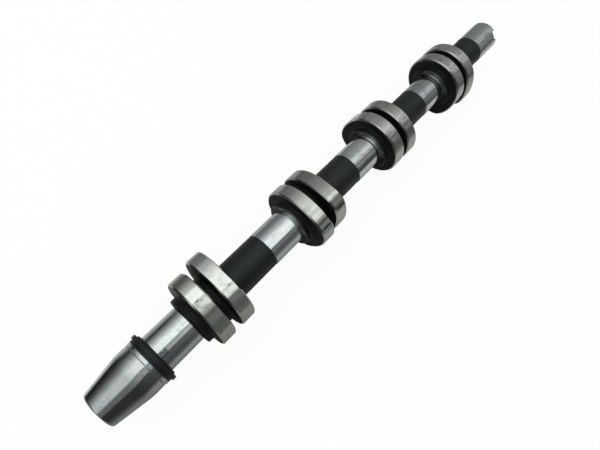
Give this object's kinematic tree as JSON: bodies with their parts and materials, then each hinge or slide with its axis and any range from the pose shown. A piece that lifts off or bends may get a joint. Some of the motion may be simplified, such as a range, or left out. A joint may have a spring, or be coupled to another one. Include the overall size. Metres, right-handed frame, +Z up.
{
  "type": "camshaft",
  "caption": "One-piece iron camshaft: turned journals, pairs of cam lobes phased by firing order, nose taper with seal land and thrust collar, drive slot across the tail.",
  "frame": {"origin": "on the shaft axis, at the shoulder where the front journal meets the thrust collar", "axes": "+X along the shaft axis from the nose to the tail; +Z up as the camshaft lies on its lobes"},
  "size_m": [0.4313, 0.0544, 0.0544],
  "materials": {
    "camshaft_iron": "satin"
  },
  "bodies": {
    "root": {"camshaft": "camshaft_iron"}
  },
  "joints": []
}
